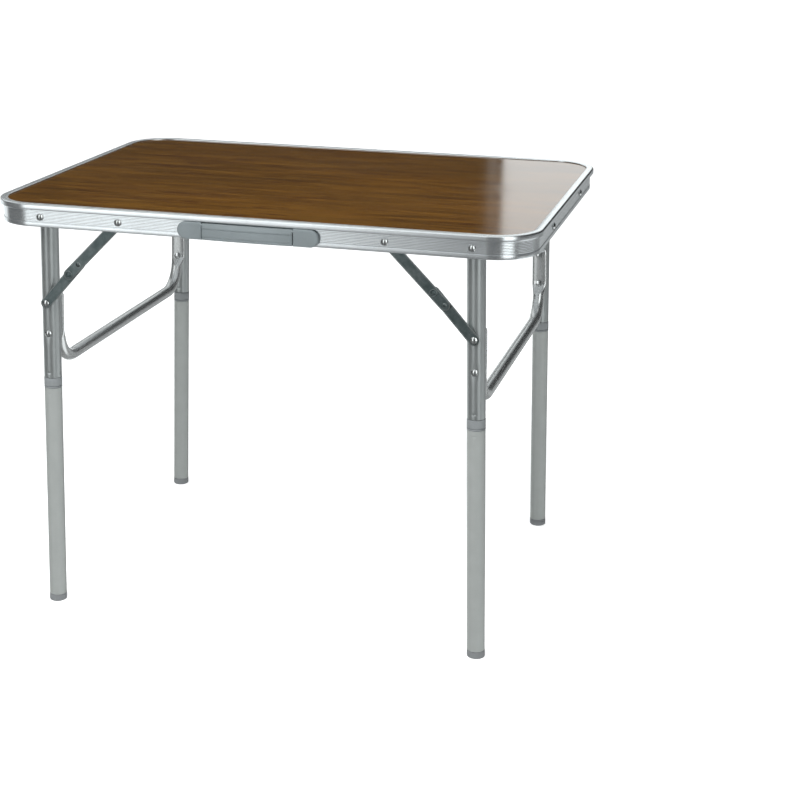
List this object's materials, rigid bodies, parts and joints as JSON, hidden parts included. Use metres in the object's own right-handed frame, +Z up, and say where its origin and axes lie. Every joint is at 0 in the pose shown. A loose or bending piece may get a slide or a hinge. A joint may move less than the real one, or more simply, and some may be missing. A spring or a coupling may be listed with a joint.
{
  "type": "folding table",
  "caption": "Rectangular camping table with a wood-look board in an aluminium edge frame, fold-in tubular legs with pull-off extensions, locking braces and a carry grip.",
  "frame": {"origin": "on the ground under the middle of the whole box", "axes": "+X along the long side, +Y away from the side that has the carry grip, +Z up"},
  "size_m": [0.75, 0.555, 0.592],
  "materials": {
    "board": "glossy printed wood grain",
    "edge_aluminium": "satin ribbed",
    "satin_tube": "satin anodised",
    "bright_tube": "polished",
    "plated_steel": "zinc plated",
    "rivet_steel": "bright",
    "clip_steel": "spring steel",
    "rail_steel": "satin grey paint",
    "grip_plastic": "moulded grey",
    "fitting_plastic": "moulded grey"
  },
  "bodies": {
    "table_top": {"top_board": "board", "center_rail": "rail_steel", "edge_frame_left": "edge_aluminium", "edge_frame_right": "edge_aluminium", "frame_splice_front": "clip_steel", "frame_splice_rear": "clip_steel", "grip_base": "grip_plastic", "tube_clip_left_front": "clip_steel", "tube_clip_left_rear": "clip_steel", "tube_clip_right_front": "clip_steel", "tube_clip_right_rear": "clip_steel", "leg_pivot_left_front": "rivet_steel", "leg_pivot_left_rear": "rivet_steel", "leg_pivot_right_front": "rivet_steel", "leg_pivot_right_rear": "rivet_steel", "brace_pivot_left_front": "rivet_steel", "brace_pivot_left_rear": "rivet_steel", "brace_pivot_right_front": "rivet_steel", "brace_pivot_right_rear": "rivet_steel"},
    "carry_grip": {"carry_grip": "grip_plastic"},
    "leg_frame_left": {"cross_brace_left": "bright_tube", "leg_tube_left_front": "satin_tube", "leg_socket_left_front": "fitting_plastic", "brace_foot_rivet_left_front": "rivet_steel", "cross_brace_rivet_left_front": "rivet_steel", "leg_tube_left_rear": "satin_tube", "leg_socket_left_rear": "fitting_plastic", "brace_foot_rivet_left_rear": "rivet_steel", "cross_brace_rivet_left_rear": "rivet_steel"},
    "leg_frame_right": {"cross_brace_right": "bright_tube", "leg_tube_right_front": "satin_tube", "leg_socket_right_front": "fitting_plastic", "brace_foot_rivet_right_front": "rivet_steel", "cross_brace_rivet_right_front": "rivet_steel", "leg_tube_right_rear": "satin_tube", "leg_socket_right_rear": "fitting_plastic", "brace_foot_rivet_right_rear": "rivet_steel", "cross_brace_rivet_right_rear": "rivet_steel"},
    "extension_left_front": {"extension_tube_left_front": "satin_tube", "extension_spigot_left_front": "fitting_plastic", "foot_cap_left_front": "fitting_plastic"},
    "extension_left_rear": {"extension_tube_left_rear": "satin_tube", "extension_spigot_left_rear": "fitting_plastic", "foot_cap_left_rear": "fitting_plastic"},
    "extension_right_front": {"extension_tube_right_front": "satin_tube", "extension_spigot_right_front": "fitting_plastic", "foot_cap_right_front": "fitting_plastic"},
    "extension_right_rear": {"extension_tube_right_rear": "satin_tube", "extension_spigot_right_rear": "fitting_plastic", "foot_cap_right_rear": "fitting_plastic"},
    "levelling_foot": {"levelling_foot_right_rear": "fitting_plastic"},
    "upper_link_left_front": {"brace_upper_left_front": "plated_steel"},
    "lower_link_left_front": {"brace_lower_left_front": "plated_steel"},
    "upper_link_left_rear": {"brace_upper_left_rear": "plated_steel"},
    "lower_link_left_rear": {"brace_lower_left_rear": "plated_steel"},
    "upper_link_right_front": {"brace_upper_right_front": "plated_steel"},
    "lower_link_right_front": {"brace_lower_right_front": "plated_steel"},
    "upper_link_right_rear": {"brace_upper_right_rear": "plated_steel"},
    "lower_link_right_rear": {"brace_lower_right_rear": "plated_steel"}
  },
  "joints": [
    {"name": "left_leg_fold", "type": "hinge", "parent": "table_top", "child": "leg_frame_left", "pos_m": [-0.2945, 0.0025, 0.5742], "axis": [0, 1, 0], "range_deg": [-91.7, 0]},
    {"name": "right_leg_fold", "type": "hinge", "parent": "table_top", "child": "leg_frame_right", "pos_m": [0.2945, 0.0025, 0.5742], "axis": [0, 1, 0], "range_deg": [0, 91.7]},
    {"name": "upper_link_turn_left_front", "type": "hinge", "parent": "table_top", "child": "upper_link_left_front", "pos_m": [-0.182, -0.2606, 0.5742], "axis": [0, 1, 0], "range_deg": [-135, 0]},
    {"name": "lower_link_turn_left_front", "type": "hinge", "parent": "leg_frame_left", "child": "lower_link_left_front", "pos_m": [-0.29813, -0.256, 0.45175], "axis": [0, 1, 0], "range_deg": [0, 140]},
    {"name": "upper_link_turn_left_rear", "type": "hinge", "parent": "table_top", "child": "upper_link_left_rear", "pos_m": [-0.182, 0.2656, 0.5742], "axis": [0, 1, 0], "range_deg": [-135, 0]},
    {"name": "lower_link_turn_left_rear", "type": "hinge", "parent": "leg_frame_left", "child": "lower_link_left_rear", "pos_m": [-0.29813, 0.261, 0.45175], "axis": [0, 1, 0], "range_deg": [0, 140]},
    {"name": "upper_link_turn_right_front", "type": "hinge", "parent": "table_top", "child": "upper_link_right_front", "pos_m": [0.182, -0.2606, 0.5742], "axis": [0, 1, 0], "range_deg": [0, 135]},
    {"name": "lower_link_turn_right_front", "type": "hinge", "parent": "leg_frame_right", "child": "lower_link_right_front", "pos_m": [0.29813, -0.256, 0.45175], "axis": [0, 1, 0], "range_deg": [-140, 0]},
    {"name": "upper_link_turn_right_rear", "type": "hinge", "parent": "table_top", "child": "upper_link_right_rear", "pos_m": [0.182, 0.2656, 0.5742], "axis": [0, 1, 0], "range_deg": [0, 135]},
    {"name": "lower_link_turn_right_rear", "type": "hinge", "parent": "leg_frame_right", "child": "lower_link_right_rear", "pos_m": [0.29813, 0.261, 0.45175], "axis": [0, 1, 0], "range_deg": [-140, 0]},
    {"name": "extension_pull_left_front", "type": "slide", "parent": "leg_frame_left", "child": "extension_left_front", "axis": [-0.0297, 0, -0.9996], "range_m": [0, 0.04]},
    {"name": "extension_pull_left_rear", "type": "slide", "parent": "leg_frame_left", "child": "extension_left_rear", "axis": [-0.0297, 0, -0.9996], "range_m": [0, 0.04]},
    {"name": "extension_pull_right_front", "type": "slide", "parent": "leg_frame_right", "child": "extension_right_front", "axis": [-0.0297, 0, 0.9996], "range_m": [-0.04, 0]},
    {"name": "extension_pull_right_rear", "type": "slide", "parent": "leg_frame_right", "child": "extension_right_rear", "axis": [-0.0297, 0, 0.9996], "range_m": [-0.04, 0]},
    {"name": "levelling_foot_screw", "type": "slide", "parent": "extension_right_rear", "child": "levelling_foot", "axis": [-0.0297, 0, 0.9996], "range_m": [-0.01, 0]},
    {"name": "carry_grip_swing", "type": "hinge", "parent": "table_top", "child": "carry_grip", "pos_m": [0, -0.2727, 0.5805], "axis": [-1, 0, 0], "range_deg": [0, 90]}
  ],
  "couplings": [
    {"joint": "upper_link_turn_left_front", "follows": "left_leg_fold", "ratio": 1.4714},
    {"joint": "lower_link_turn_left_front", "follows": "left_leg_fold", "ratio": -1.5249},
    {"joint": "upper_link_turn_left_rear", "follows": "left_leg_fold", "ratio": 1.4714},
    {"joint": "lower_link_turn_left_rear", "follows": "left_leg_fold", "ratio": -1.5249},
    {"joint": "upper_link_turn_right_front", "follows": "right_leg_fold", "ratio": 1.4714},
    {"joint": "lower_link_turn_right_front", "follows": "right_leg_fold", "ratio": -1.5249},
    {"joint": "upper_link_turn_right_rear", "follows": "right_leg_fold", "ratio": 1.4714},
    {"joint": "lower_link_turn_right_rear", "follows": "right_leg_fold", "ratio": -1.5249}
  ]
}
